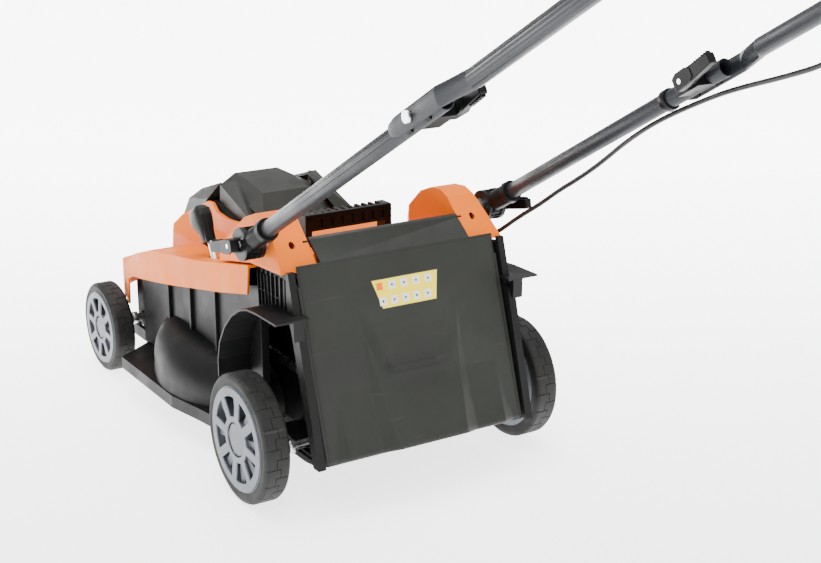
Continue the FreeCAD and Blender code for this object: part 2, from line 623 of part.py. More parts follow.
def lever_rod():
    """Cutting-height lever: bent rod above its hub, slotted arm below."""
    lean = math.radians(LEVER_LEAN)
    z = LINK_Z + LINK_ARM
    direction = V(0, -math.sin(lean), math.cos(lean))
    bar = Part.makeCylinder(LEVER_ROD_R, 85, V(LEVER_X - 0.6, LEVER_Y, z) + direction * 7, direction)
    hub = rod_x(135, 146, (LEVER_Y, z), 11)
    arm = block(135, 139, LEVER_Y - 9, LEVER_Y + 9, LINK_Z - 15, z)
    slot = block(130, 145, LEVER_Y - 4.8, LEVER_Y + 4.8, LINK_Z - 9, LINK_Z + 6)
    return cut(fuse([bar, hub, arm]), slot, rod_x(130, 150, (LEVER_Y, z), LEVER_PIN_R + FIT))


def lever_knob():
    """Tapered knob on the lever, flared towards its top."""
    knob = prism_yz(KNOB_SECTION, LEVER_X - 11, LEVER_X + 11)
    knob = cut(knob, Part.makeCylinder(LEVER_ROD_R + FIT, 92.2, V(LEVER_X - 0.6, 0, 0), V(0, 0, 1)))
    knob.rotate(V(LEVER_X, 0, 0), V(1, 0, 0), LEVER_LEAN)
    knob.translate(V(0, LEVER_Y, LINK_Z + LINK_ARM))
    return knob


def lever_bracket():
    """Pin and toothed detent plate for the height lever, fixed to the deck wall."""
    z = LINK_Z + LINK_ARM
    pin = rod_x(132, 147, (LEVER_Y, z), LEVER_PIN_R)
    plate = block(130, 133.5, LEVER_Y - 26, LEVER_Y + 26, z - 12, z + 26)
    teeth = [block(129, 134, y, y + 3, z + 20, z + 28) for y in range(-231, -186, 9)]
    return fuse([cut(plate, *teeth), pin])


def height_axle(pivot, centre, arm_x, spindle_x):
    """Cranked axle: cross rod, two crank arms with wheel spindles, and the arm for the link."""
    cross = rod_x(-arm_x - 8, arm_x + 8, pivot, CRANK_ROD_R)
    crank = fuse([prism_yz(strip(pivot, centre, 9), arm_x, arm_x + 8), rod_x(arm_x, arm_x + 8, pivot, 9),
                  rod_x(arm_x, arm_x + 8, centre, 9), rod_x(arm_x, spindle_x, centre, SPINDLE_R)])
    pin_at = (pivot[0], pivot[1] + LINK_ARM)
    link_arm = fuse([prism_yz(strip(pivot, pin_at, 7), LINK_X - 6, LINK_X - 1),
                     rod_x(LINK_X - 6, LINK_X - 1, pin_at, 7), rod_x(LINK_X - 6, LINK_X + 6, pin_at, LINK_PIN_R)])
    return fuse([cross, crank, mirrored(crank), link_arm])


def strip(start, end, half):
    """Outline of a straight bar of the given half width between two (y, z) points."""
    dy, dz = end[0] - start[0], end[1] - start[1]
    size = math.hypot(dy, dz)
    ny, nz = -dz / size * half, dy / size * half
    return [(start[0] + ny, start[1] + nz), (end[0] + ny, end[1] + nz),
            (end[0] - ny, end[1] - nz), (start[0] - ny, start[1] - nz)]


FRONT_PIN = (FRONT_PIVOT[0], FRONT_PIVOT[1] + LINK_ARM)
REAR_PIN = (REAR_PIVOT[0], REAR_PIVOT[1] + LINK_ARM)
SLOPE = (REAR_PIN[1] - FRONT_PIN[1]) / (REAR_PIN[0] - FRONT_PIN[0])
LINK_Z = FRONT_PIN[1] + SLOPE * (LEVER_Y - FRONT_PIN[0])


def link_rod():
    """Flat bar that ties the two height axles together, with the lever's drive pin."""
    bar = fuse([prism_yz(strip(FRONT_PIN, REAR_PIN, 6), LINK_X, LINK_X + 4),
                rod_x(LINK_X, LINK_X + 4, FRONT_PIN, 8), rod_x(LINK_X, LINK_X + 4, REAR_PIN, 8)])
    drive_pin = rod_x(LINK_X, 140.5, (LEVER_Y, LINK_Z), 2.7)
    bar = fuse([bar, drive_pin])
    return cut(bar, rod_x(100, 150, FRONT_PIN, LINK_PIN_R + FIT), rod_x(100, 150, REAR_PIN, LINK_PIN_R + FIT))


def axle_bushes():
    """Flanged bushes in the deck walls for both height axles."""
    def bush(wall_x, pivot):
        sleeve = rod_x(wall_x - 4, wall_x + 1, pivot, CRANK_ROD_R + 3)
        collar = rod_x(wall_x - 5, wall_x - 3.05, pivot, CRANK_ROD_R + 6)
        return fuse([sleeve, collar]).cut(rod_x(wall_x - 9, wall_x + 9, pivot, CRANK_ROD_R + FIT))
    bushes = []
    for wall_x, pivot in ((NOSE_BOX_X, FRONT_PIVOT), (TUNNEL_X, REAR_PIVOT)):
        bushes += [bush(wall_x, pivot), mirrored(bush(wall_x, pivot))]
    return Part.makeCompound(bushes)


def tyre(centre, radius, width, face_x, side):
    """Tyre with rounded shoulders."""
    x0 = face_x - width
    rim = radius * RIM_RATIO
    profile = polygon([V(x0, 0, rim), V(x0, 0, radius - 5), V(x0 + 5, 0, radius), V(face_x - 5, 0, radius),
                       V(face_x, 0, radius - 5), V(face_x, 0, rim)])
    ring = Part.Face(profile).revolve(V(0, 0, 0), V(1, 0, 0), 360)
    ring.translate(V(0, centre[0], centre[1]))
    return ring if side > 0 else mirrored(ring)


def hub(centre, radius, width, face_x, side):
    """Wheel centre: rim, thin web, eight ribs like spokes and a bored boss."""
    rim = radius * RIM_RATIO - FIT
    x0 = face_x - width + 1
    outer = face_x - 1
    boss_r = radius * 0.3
    body = fuse([ring_x(x0, outer, centre, rim, rim - radius * 0.11),
                 rod_x(x0 + 4, x0 + 8, centre, rim - 1), rod_x(x0, outer - 3, centre, boss_r)])
    spokes = []
    for k in range(SPOKES):
        half_in, half_out = radius * 0.05, radius * 0.075
        spoke = prism_yz([(-half_in, boss_r - 2), (half_in, boss_r - 2), (half_out, rim - 4),
                          (-half_out, rim - 4)], x0 + 5, outer - 3)
        spoke.rotate(V(0, 0, 0), V(1, 0, 0), 360 / SPOKES * k + 8)
        spoke.translate(V(0, centre[0], centre[1]))
        spokes.append(spoke)
    body = fuse([body] + spokes)
    body = cut(body, rod_x(x0 - 5, outer - 6, centre, SPINDLE_R + FIT),
               rod_x(outer - 9, outer + 5, centre, boss_r - 3))
    return body if side > 0 else mirrored(body)


def hub_cap(centre, radius, width, face_x, side):
    outer = face_x - 1
    boss_r = radius * 0.3 - 3 - FIT
    cap = fuse([rod_x(outer - 4, outer - 1, centre, boss_r),
                Part.makeCone(boss_r, boss_r - 2, 1.5, V(outer - 1, centre[0], centre[1]), V(1, 0, 0))])
    return cap if side > 0 else mirrored(cap)


# ---- control cable: hand-placed route from the gland to the switch box ----
CABLE_LOW = [V(-171, -14, 289), V(-176, 2, 299), V(-188, 32, 325), V(-194, 72, 351), V(-193, 112, 378),
             V(-190, 154, 402), V(-190, 196, 430), V(-190, 240, 464), V(-197, 290, 499),
             V(-196, 334, 519.5)]
CABLE_HIGH = [V(-196, 334, 519.5), V(-195, 378, 540), V(-186, 434, 560), V(-187, 492, 579),
              V(-192, 546, 600), V(-191, 590, 636), V(-188, 628, 674), V(-188, 671.6, 703.4)]


def cable_radii(points):
    radii = []
    for before, here, after in zip(points, points[1:], points[2:]):
        into, out = before - here, after - here
        turn = math.pi - into.getAngle(out)
        radii.append(0.45 * min(into.Length, out.Length) / math.tan(turn / 2))
    return radii


def cable(name, points):
    radii = cable_radii(points)
    tube = swept_tube(points, radii, CABLE_R)
    length = rounded_path(points, radii).Length
    print(name, "length", round(length, 1), "volume ratio",
          round(tube.Volume / (math.pi * CABLE_R ** 2 * length), 4), "radii", [round(r) for r in radii])
    return tube


def cable_gland():
    start, step = CABLE_LOW[0], (CABLE_LOW[1] - CABLE_LOW[0]).normalize()
    return fuse([Part.makeCone(6.5, 4.2, 18, start - step * 18.05, step)])


def cable_clip():
    """C-shaped clip on the right-hand lower tube, open on the outside where the cable passes."""
    ring = handle_rod(-TUBE_X, CLIP_S, CLIP_S + 10, TUBE_R + 2.5)
    bore = handle_rod(-TUBE_X, CLIP_S - 5, CLIP_S + 15, TUBE_R + FIT)
    middle = along(CLIP_S, -TUBE_X - 20)
    mouth = block(middle.x - 8, middle.x + 12, middle.y - 20, middle.y + 30, middle.z - 20, middle.z + 30)
    return cut(ring, bore, mouth)


def wheels():
    rear = ((0.0, REAR_WHEEL_R), REAR_WHEEL_R, REAR_TYRE_W, REAR_FACE_X)
    front = ((FRONT_AXLE_Y, FRONT_WHEEL_R), FRONT_WHEEL_R, FRONT_TYRE_W, FRONT_FACE_X)
    for end, sizes in (("front", front), ("rear", rear)):
        for name, side in (("left", 1), ("right", -1)):
            save(end + "_tyre_" + name, tyre(*sizes, side))
            save(end + "_hub_" + name, hub(*sizes, side))
            save(end + "_hub_cap_" + name, hub_cap(*sizes, side))


def cam_levers():
    mid = along(MID_BOLT, 0)
    pivot = V(0, HANDLE_PIVOT[0], HANDLE_PIVOT[1])
    forward, back = V(0, -0.966, -0.259), V(0, 0.985, 0.174)
    save("lower_cam_left", cam_lever(199, 209, pivot, forward, 62))
    save("lower_cam_right", cam_lever(-209, -199, pivot, back, 62))
    up_slope, steep = V(0, 0.85, 0.527), V(0, 0.80, 0.60)
    save("upper_cam_left", cam_lever(144, 154, mid, up_slope, 60))
    save("upper_cam_right", cam_lever(-154, -144, mid, steep, 60))


def main():
    os.makedirs("parts", exist_ok=True)
    save("deck_shell", deck_shell())
    save("top_cover", top_cover())
    save("handle_cover_left", shoulder())
    save("handle_cover_right", mirrored(shoulder()))
    save("battery_lid", hood())
    save("battery_tray", battery_tray())
    save("battery_pack_left", battery_pack(1))
    save("battery_pack_right", battery_pack(-1))
    save("safety_key", safety_key())
    save("key_socket", key_socket())
    save("control_board", control_board())
    save("carry_handle", carry_handle())
    save("motor_housing", motor_housing())
    save("motor_rotor", motor_rotor())
    save("cooling_fan", cooling_fan())
    save("blade_carrier", blade_carrier())
    save("blade", blade())
    save("blade_bolt", blade_bolt())
    save("flap", flap())
    save("flap_rod", rod_x(-118, 118, FLAP_HINGE, FLAP_ROD_R))
    save("height_lever", lever_rod())
    save("height_knob", lever_knob())
    save("lever_bracket", lever_bracket())
    rear_centre = (0.0, REAR_WHEEL_R)
    front_centre = (FRONT_AXLE_Y, FRONT_WHEEL_R)
    save("front_axle", height_axle(FRONT_PIVOT, front_centre, 152, FRONT_FACE_X - 8.5))
    save("rear_axle", height_axle(REAR_PIVOT, rear_centre, 166, REAR_FACE_X - 8.5))
    save("height_link", link_rod())
    save("axle_bushes", axle_bushes())
    wheels()
    save("handle_brackets", handle_brackets())
    save("pivot_bolts", pivot_bolts())
    for name, side in (("left", 1), ("right", -1)):
        save("handle_socket_" + name, handle_socket(side))
        save("lower_tube_" + name, lower_tube(side))
    cam_levers()
    save("joint_saddles", joint_saddles())
    save("joint_bolts", joint_bolts())
    save("upper_tube", upper_tube())
    save("grip", grip())
    save("switch_box", switch_box())
    save("lock_button", lock_button())
    save("bail_bar", bail_bar())
    save("cable_lower", cable("cable_lower", CABLE_LOW))
    save("cable_upper", cable("cable_upper", CABLE_HIGH))
    save("cable_gland", cable_gland())
    save("cable_clip", cable_clip())


main()
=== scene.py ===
import json
import math

import bmesh
import bpy
from mathutils import Matrix, Vector


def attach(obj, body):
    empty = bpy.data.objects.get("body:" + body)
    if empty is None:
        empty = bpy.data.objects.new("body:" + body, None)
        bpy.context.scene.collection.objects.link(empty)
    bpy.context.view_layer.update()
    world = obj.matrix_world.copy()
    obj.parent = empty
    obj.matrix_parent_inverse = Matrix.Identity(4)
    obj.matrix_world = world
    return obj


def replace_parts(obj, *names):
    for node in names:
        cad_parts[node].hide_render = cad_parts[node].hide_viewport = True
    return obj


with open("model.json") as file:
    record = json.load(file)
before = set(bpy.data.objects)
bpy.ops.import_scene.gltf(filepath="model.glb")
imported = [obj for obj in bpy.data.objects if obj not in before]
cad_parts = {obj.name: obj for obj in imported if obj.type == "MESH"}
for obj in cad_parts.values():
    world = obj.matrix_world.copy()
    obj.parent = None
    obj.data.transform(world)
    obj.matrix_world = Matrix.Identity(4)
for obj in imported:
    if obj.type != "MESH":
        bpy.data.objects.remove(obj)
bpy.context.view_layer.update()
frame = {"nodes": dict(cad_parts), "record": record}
nodes = frame["nodes"]

# Positions are in millimetres from the rear axle's ground line, as the CAD lays the mower out, and
# mm() turns them into the frame's metres.  +X is the operator's left, +Y is back, +Z is up.
REAR_AXLE_Y = -99.57
HANDLE_PIVOT = (-28.0, 330.6)
HANDLE_ANGLE = math.radians(29.5)
TUBE_X = 182.0
CABLE_R = 0.003


def mm(x, y, z):
    return Vector((x, y + REAR_AXLE_Y, z)) * 0.001


def along(distance, x, lift=0.0):
    """Point beside the handle's tubes: distance from the handle's pivot, height above their line."""
    y = HANDLE_PIVOT[0] + distance * math.cos(HANDLE_ANGLE) - lift * math.sin(HANDLE_ANGLE)
    z = HANDLE_PIVOT[1] + distance * math.sin(HANDLE_ANGLE) + lift * math.cos(HANDLE_ANGLE)
    return (x, y, z)


# ---- camera ----
def make_camera():
    azimuth, elevation = math.radians(147.80), math.radians(17.40)
    back = Vector((math.sin(azimuth) * math.cos(elevation), -math.cos(azimuth) * math.cos(elevation),
                   math.sin(elevation)))
    data = bpy.data.cameras.new("camera")
    data.lens = 64.66
    data.sensor_width = 36.0
    data.dof.use_dof = False
    data.clip_start, data.clip_end = 0.05, 50.0
    camera = bpy.data.objects.new("camera", data)
    bpy.context.collection.objects.link(camera)
    camera.location = (0.9529, 1.4726, 0.8334)
    camera.rotation_mode = "QUATERNION"
    camera.rotation_quaternion = (-back).to_track_quat("-Z", "Y")
    bpy.context.scene.camera = camera


make_camera()


# ---- materials ----
class Nodes:
    """Small helper round a material's node tree."""

    def __init__(self, name):
        self.material = bpy.data.materials.new(name)
        self.material.use_nodes = True
        self.tree = self.material.node_tree
        self.shader = self.tree.nodes["Principled BSDF"]
        self.coords = self.add("ShaderNodeTexCoord").outputs["Object"]

    def add(self, kind, **settings):
        node = self.tree.nodes.new(kind)
        for key, value in settings.items():
            setattr(node, key, value)
        return node

    def link(self, source, target):
        self.tree.links.new(source, target)

    def noise(self, scale, detail=4.0, stretch=(1, 1, 1)):
        mapping = self.add("ShaderNodeMapping")
        mapping.inputs["Scale"].default_value = stretch
        self.link(self.coords, mapping.inputs["Vector"])
        noise = self.add("ShaderNodeTexNoise")
        noise.inputs["Scale"].default_value = scale
        noise.inputs["Detail"].default_value = detail
        self.link(mapping.outputs["Vector"], noise.inputs["Vector"])
        return noise.outputs["Fac"]

    def ramp(self, source, low, high, at=(0.35, 0.65)):
        """Maps the source from low to high, numbers or colours, between the two stops."""
        ramp = self.add("ShaderNodeValToRGB")
        for element, stop, value in zip(ramp.color_ramp.elements, at, (low, high)):
            element.position = stop
            element.color = (value, value, value, 1) if isinstance(value, float) else (*value, 1)
        self.link(source, ramp.inputs["Fac"])
        return ramp.outputs["Color"]

    def mix(self, factor, first, second):
        mix = self.add("ShaderNodeMix", data_type="RGBA")
        for value, socket in ((factor, mix.inputs["Factor"]), (first, mix.inputs["A"]),
                              (second, mix.inputs["B"])):
            if isinstance(value, float):
                socket.default_value = value
            elif isinstance(value, tuple):
                socket.default_value = (*value, 1)
            else:
                self.link(value, socket)
        return mix.outputs["Result"]

    def bump(self, height, strength, distance=0.0005):
        bump = self.add("ShaderNodeBump")
        bump.inputs["Strength"].default_value = strength
        bump.inputs["Distance"].default_value = distance
        self.link(height, bump.inputs["Height"])
        if self.shader.inputs["Normal"].is_linked:
            self.link(self.shader.inputs["Normal"].links[0].from_socket, bump.inputs["Normal"])
        self.link(bump.outputs["Normal"], self.shader.inputs["Normal"])

    def upward(self):
        """1 on faces that look up, 0 on the rest: where dust settles."""
        geometry = self.add("ShaderNodeNewGeometry")
        split = self.add("ShaderNodeSeparateXYZ")
        self.link(geometry.outputs["Normal"], split.inputs["Vector"])
        clamp = self.add("ShaderNodeMapRange")
        clamp.inputs["From Min"].default_value = 0.4
        self.link(split.outputs["Z"], clamp.inputs["Value"])
        return clamp.outputs["Result"]


def moulded(name, colour, rough, grain=0.25, grain_scale=2600.0, dust=0.12, spread=0.12, coat=0.0,
            metallic=0.0, scuff=0.25, shine=0.5):
    """Moulded plastic, rubber or powder coat: uneven tone, fine grain, light dust and a few scuffs."""
    made = Nodes(name)
    dark = tuple(c * (1 - spread) for c in colour)
    light = tuple(min(1.0, c * (1 + spread)) for c in colour)
    tone = made.ramp(made.noise(9.0), dark, light)
    dusty = tuple(0.7 * c + 0.07 for c in colour)
    settled = made.add("ShaderNodeMath", operation="MULTIPLY")
    made.link(made.upward(), settled.inputs[0])
    made.link(made.ramp(made.noise(34.0, 8.0), 0.0, dust), settled.inputs[1])
    tone = made.mix(settled.outputs[0], tone, dusty)
    scratches = made.ramp(made.noise(60.0, 10.0, (0.15, 1.0, 3.0)), 0.0, scuff * 0.4, at=(0.66, 0.74))
    made.link(made.mix(scratches, tone, dusty), made.shader.inputs["Base Color"])
    made.link(made.ramp(made.noise(22.0, 6.0), rough - 0.06, rough + 0.08), made.shader.inputs["Roughness"])
    made.shader.inputs["Metallic"].default_value = metallic
    made.shader.inputs["Specular IOR Level"].default_value = shine
    made.shader.inputs["Coat Weight"].default_value = coat
    made.shader.inputs["Coat Roughness"].default_value = 0.25
    made.bump(made.noise(grain_scale, 2.0), grain, 0.0002)
    made.bump(made.noise(14.0, 2.0), 0.06, 0.002)
    return made.material


def metal(name, colour, rough, brushed=(1, 1, 30), wear=(0.12, 0.08, 0.05)):
    """Bare or plated metal with brushing along X and a trace of tarnish."""
    made = Nodes(name)
    made.shader.inputs["Metallic"].default_value = 1.0
    stain = made.ramp(made.noise(26.0, 8.0), 0.0, 0.35, at=(0.5, 0.72))
    made.link(made.mix(stain, colour, tuple(0.5 * c + 0.5 * w for c, w in zip(colour, wear))),
              made.shader.inputs["Base Color"])
    lines = made.noise(180.0, 3.0, brushed)
    made.link(made.ramp(lines, rough - 0.05, rough + 0.12), made.shader.inputs["Roughness"])
    made.bump(lines, 0.15, 0.0002)
    return made.material


ORANGE = moulded("orange_cover", (0.80, 0.160, 0.001), 0.45, grain=0.10, spread=0.04, dust=0.01, scuff=0.03,
                 shine=0.12)
DECK = moulded("deck_black", (0.0055, 0.0057, 0.0060), 0.45, grain=0.30, dust=0.06, shine=0.16)
HOOD = moulded("hood_grey", (0.0160, 0.0175, 0.0145), 0.46, grain=0.35, dust=0.08, shine=0.22)
CLAMP = moulded("clamp_black", (0.0035, 0.0035, 0.0038), 0.34, grain=0.2, dust=0.01, shine=0.14)
KNOB = moulded("knob_grey", (0.0090, 0.0095, 0.0085), 0.40, grain=0.3, dust=0.03, shine=0.2)
TYRE = moulded("tyre_black", (0.0110, 0.0112, 0.0105), 0.60, grain=0.5, grain_scale=1400.0, dust=0.22,
               scuff=0.6, shine=0.2)
HUB = moulded("hub_grey", (0.120, 0.132, 0.150), 0.42, grain=0.2, dust=0.03, spread=0.05, shine=0.3)
CAP = moulded("cap_dark", (0.110, 0.122, 0.140), 0.42, grain=0.2, spread=0.05, dust=0.03, shine=0.3)
TUBE = moulded("tube_grey", (0.013, 0.015, 0.0185), 0.40, grain=0.45, grain_scale=3200.0, coat=0.05,
               metallic=0.15, spread=0.05, dust=0.01, shine=0.3)
GRIP = moulded("grip_foam", (0.012, 0.012, 0.012), 0.85, grain=0.8, grain_scale=1200.0, shine=0.3)
CABLE = moulded("cable_black", (0.005, 0.005, 0.006), 0.38, grain=0.1, dust=0.02)
BATTERY = moulded("battery_black", (0.010, 0.010, 0.010), 0.5)
KEY = moulded("key_red", (0.50, 0.02, 0.01), 0.35, coat=0.3)
BOARD = moulded("circuit_green", (0.01, 0.08, 0.03), 0.3, coat=0.5)
FAN = moulded("fan_grey", (0.05, 0.05, 0.05), 0.5)
BLADE = moulded("blade_steel", (0.035, 0.035, 0.035), 0.4, metallic=0.6, scuff=1.0)
YELLOW = moulded("label_yellow", (0.88, 0.70, 0.015), 0.35, grain=0.05, spread=0.02, dust=0.02, shine=0.3)
WHITE = moulded("label_white", (0.70, 0.70, 0.68), 0.4, grain=0.05, spread=0.02, dust=0.02)
INK = moulded("label_ink", (0.03, 0.03, 0.03), 0.4, grain=0.05, spread=0.02, dust=0.02)
STEEL = metal("steel", (0.62, 0.62, 0.63), 0.28)
CAST = metal("motor_cast", (0.42, 0.42, 0.43), 0.45)
ALLOY = metal("carrier_alloy", (0.50, 0.50, 0.50), 0.35)
CHROME = metal("lever_chrome", (0.88, 0.88, 0.88), 0.16, wear=(0.4, 0.4, 0.38))
BAIL = moulded("bail_steel", (0.010, 0.010, 0.011), 0.35, coat=0.2)

SLOT_MATERIALS = {
    "deck_black": DECK, "orange_cover": ORANGE, "hood_grey": HOOD, "battery_black": BATTERY, "key_red": KEY,
    "circuit_green": BOARD, "motor_cast": CAST, "steel": STEEL, "fan_grey": FAN, "carrier_alloy": ALLOY,
    "blade_steel": BLADE, "clamp_black": CLAMP, "knob_grey": KNOB, "tube_grey": TUBE, "grip_foam": GRIP,
    "button_orange": ORANGE, "bail_steel": BAIL, "cable_black": CABLE, "tyre_black": TYRE, "hub_grey": HUB,
    "cap_dark": CAP}


# ---- shape helpers ----
def piece(name, mesh, material, body, smooth_angle=35.0):
    """A mesh that belongs to the mower: linked, shaded, coloured and riding on its body."""
    mesh.materials.append(material)
    made = bpy.data.objects.new(name, mesh)
    bpy.context.collection.objects.link(made)
    mesh.shade_smooth()
    mesh.set_sharp_from_angle(angle=math.radians(smooth_angle))
    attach(made, body)
    return made


def mesh_from(name, build, keep_normals=False):
    """Runs build(bm) on an empty bmesh; the normals are made consistent unless they are to be kept."""
    bm = bmesh.new()
    build(bm)
    if not keep_normals:
        bmesh.ops.recalc_face_normals(bm, faces=bm.faces)
    mesh = bpy.data.meshes.new(name)
    bm.to_mesh(mesh)
    bm.free()
    return mesh


def add_hull(bm, points):
    """Adds the convex solid around the points."""
    made = [bm.verts.new(p) for p in points]
    result = bmesh.ops.convex_hull(bm, input=made)
    loose = {g for g in result["geom_interior"] + result["geom_unused"] if isinstance(g, bmesh.types.BMVert)}
    bmesh.ops.delete(bm, geom=list(loose), context="VERTS")


def add_box(bm, x0, x1, y0, y1, z0, z1):
    add_hull(bm, [mm(x, y, z) for x in (x0, x1) for y in (y0, y1) for z in (z0, z1)])


def add_rod(bm, start, end, radius, radius_end=None, sides=24):
    start, end = Vector(start), Vector(end)
    axis = end - start
    place = Matrix.Translation((start + end) / 2) @ axis.to_track_quat("Z", "Y").to_matrix().to_4x4()
    bmesh.ops.create_cone(bm, cap_ends=True, segments=sides, radius1=radius,
                          radius2=radius if radius_end is None else radius_end, depth=axis.length,
                          matrix=place)


def soften(made, width, segments=2, angle=32.0):
    """Rounds the piece's edges; CAD nodes are welded first, because their faces come apart."""
    weld = made.modifiers.new("weld", "WELD")
    weld.merge_threshold = 0.00002
    bevel = made.modifiers.new("bevel", "BEVEL")
    bevel.width = width
    bevel.segments = segments
    bevel.limit_method = "ANGLE"
    bevel.angle_limit = math.radians(angle)
    bevel.use_clamp_overlap = True
    bevel.harden_normals = True


# ---- control cable ----
CABLE_LOW = [(-171, -14, 289), (-176, 2, 299), (-188, 32, 325), (-194, 72, 351), (-193, 112, 378),
             (-190, 154, 402), (-190, 196, 430), (-190, 240, 464), (-197, 290, 499), (-196, 334, 519.5)]
CABLE_HIGH = [(-196, 334, 519.5), (-195, 378, 540), (-186, 434, 560), (-187, 492, 579), (-192, 546, 600),
              (-191, 590, 636), (-188, 628, 674), (-188, 671.6, 703.4)]


def make_cable(name, node, points, body):
    curve = bpy.data.curves.new(name, "CURVE")
    curve.dimensions = "3D"
    curve.resolution_u = 12
    curve.bevel_depth = CABLE_R
    curve.bevel_resolution = 4
    curve.use_fill_caps = True
    spline = curve.splines.new("NURBS")
    spline.points.add(len(points) - 1)
    for point, place in zip(spline.points, points):
        point.co = (*mm(*place), 1.0)
    spline.order_u = 3
    spline.use_endpoint_u = True
    curve.materials.append(CABLE)
    made = bpy.data.objects.new(name, curve)
    bpy.context.collection.objects.link(made)
    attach(made, body)
    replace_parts(made, node)
    return made


make_cable("cable_to_clip", "cable_lower", CABLE_LOW, "lower_handle")
make_cable("cable_to_switch", "cable_upper", CABLE_HIGH, "upper_handle")


# ---- CAD pieces that stay: rounded edges and materials ----
EDGE_WIDTH = {"deck_shell": 0.0008, "top_cover": 0.0016, "handle_cover_left": 0.0022,
              "handle_cover_right": 0.0022, "carry_handle": 0.0012, "switch_box": 0.0025,
              "lower_cam_left": 0.0022, "lower_cam_right": 0.0022, "upper_cam_left": 0.0022,
              "upper_cam_right": 0.0022, "height_knob": 0.0020, "joint_saddles": 0.0020,
              "handle_socket_left": 0.0014, "handle_socket_right": 0.0014}
SLOT_OF = {entry["node"]: entry["material_slot"] for entry in frame["record"]["subparts"]}

for node_name, node in nodes.items():
    node.data.materials.clear()
    node.data.materials.append(SLOT_MATERIALS[SLOT_OF[node_name]])
    soften(node, EDGE_WIDTH.get(node_name, 0.0005))
for node_name, material in (("height_lever", CHROME), ("carry_handle", CLAMP), ("flap_rod", CLAMP),
                            ("joint_bolts", CHROME)):
    nodes[node_name].data.materials[0] = material


# ---- tyres ----
RIM_RATIO = 0.816              # rim radius over tyre radius
ZIGZAG = 0.08                  # swing of the middle groove over the tyre's width
GROOVE_HALF, GROOVE_DEPTH = 0.45, 0.9
SHOULDER_DROP = 1.6
BLOCK_STEPS = (0.0, 0.035, 0.15, 0.27, 0.385, 0.465)


def tyre_mesh(centre_y, radius, width, face_x, side, blocks):
    """Tyre with a groove of V section round each tread block; two staggered rows meet in a zigzag."""
    inner_x = face_x - width
    middle = face_x - width / 2
    rim = radius * RIM_RATIO
    swing = width * ZIGZAG
    phases = []
    for k in range(blocks):
        for half in (0, 1):
            for step in BLOCK_STEPS:
                phases.append((k + half * 0.5 + step, half, step == 0.0))
    xs = [inner_x + 2.2, inner_x + 5.0]
    zig = [middle - swing, middle + swing]
    for x in zig:
        xs += [x - GROOVE_HALF, x, x + GROOVE_HALF]
    xs += [middle, face_x - 5.0, face_x - 2.2]
    xs.sort()

    def groove(x, half, at_groove):
        """True in a groove: across one row at each half step, and along the zigzag between the rows."""
        own = zig[1] if half == 0 else zig[0]
        if abs(x - own) < 0.01:
            return True
        if not at_groove:
            return False
        if zig[0] < x < zig[1]:
            return True
        return x < zig[0] + 0.01 if half == 0 else x > zig[1] - 0.01

    def build(bm):
        rings = []
        for phase, half, at_groove in phases:
            turn = 2 * math.pi * phase / blocks
            profile = [(inner_x + 1.0, rim), (inner_x + 0.4, rim + 3), (inner_x, rim + 8),
                       (inner_x + 0.2, radius - 5.5)]
            for x in xs:
                edge = min(x - inner_x, face_x - x)
                drop = 0.0 if edge >= 5.0 else SHOULDER_DROP
                cut = GROOVE_DEPTH if groove(x, half, at_groove) else 0.0
                profile.append((x, radius - drop - cut))
            profile += [(face_x - 0.2, radius - 5.5), (face_x, rim + 8), (face_x - 0.4, rim + 3),
                        (face_x - 1.0, rim)]
            ring = []
            for x, r in profile:
                ring.append(bm.verts.new(mm(side * x, centre_y + r * math.sin(turn),
                                            radius + r * math.cos(turn))))
            rings.append(ring)
        for here, there in zip(rings, rings[1:] + rings[:1]):
            for k in range(len(here)):
                after = (k + 1) % len(here)
                bm.faces.new((here[k], here[after], there[after], there[k]))
    return mesh_from("tyre", build)


SPOKES = 8
HALF_SPOKE = math.radians(22.5)
SPOKE_HALF_WIDTH = 0.072       # over the wheel's radius


def hub_face_mesh(centre_y, radius, face_x, side):
    """Pressed face of a wheel: wide rim ring and eight broad spokes with windows between them."""
    rings = [radius * 0.3 - 2.6, radius * 0.36, radius * 0.50, radius * 0.665, radius * 0.80]

    def build(bm):
        grid = []
        for r in rings:
            window = HALF_SPOKE - math.asin(radius * SPOKE_HALF_WIDTH / min(max(r, rings[1]), rings[3]))
            row = []
            for k in range(SPOKES):
                middle = math.radians(45 * k + 30.5)
                for turn in (middle - HALF_SPOKE, middle - window, middle - window / 2, middle,
                             middle + window / 2, middle + window):
                    row.append(bm.verts.new(mm(side * (face_x - 1.2), centre_y + r * math.sin(turn),
                                               radius + r * math.cos(turn))))
            grid.append(row)
        for ring, (inner, outer) in enumerate(zip(grid, grid[1:])):
            for k in range(len(inner)):
                if ring in (1, 2) and k % 6 in (1, 2, 3, 4):
                    continue
                after = (k + 1) % len(inner)
                corners = (inner[k], inner[after], outer[after], outer[k])
                bm.faces.new(corners if side < 0 else corners[::-1])
    return mesh_from("spoke_face", build, keep_normals=True)


# Centre's y, radius, width, x of the outer face, and number of tread blocks in a row.
WHEELS = {"rear": (0.0, 85.0, 35.5, 223.5, 20), "front": (-546.0, 70.0, 32.0, 196.5, 20)}
for end, (centre_y, radius, width, face_x, blocks) in WHEELS.items():
    for side_name, side in (("left", 1), ("right", -1)):
        mesh = tyre_mesh(centre_y, radius, width, face_x, side, blocks)
        made = piece(end + "_tread_" + side_name, mesh, TYRE, end + "_wheel_" + side_name, 28)
        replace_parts(made, end + "_tyre_" + side_name)
        face = piece(end + "_spoke_face_" + side_name, hub_face_mesh(centre_y, radius, face_x, side), HUB,
                     end + "_wheel_" + side_name)
        thicken = face.modifiers.new("thicken", "SOLIDIFY")
        thicken.thickness = 0.0024
        thicken.offset = -1.0
        soften(face, 0.0007, 2)


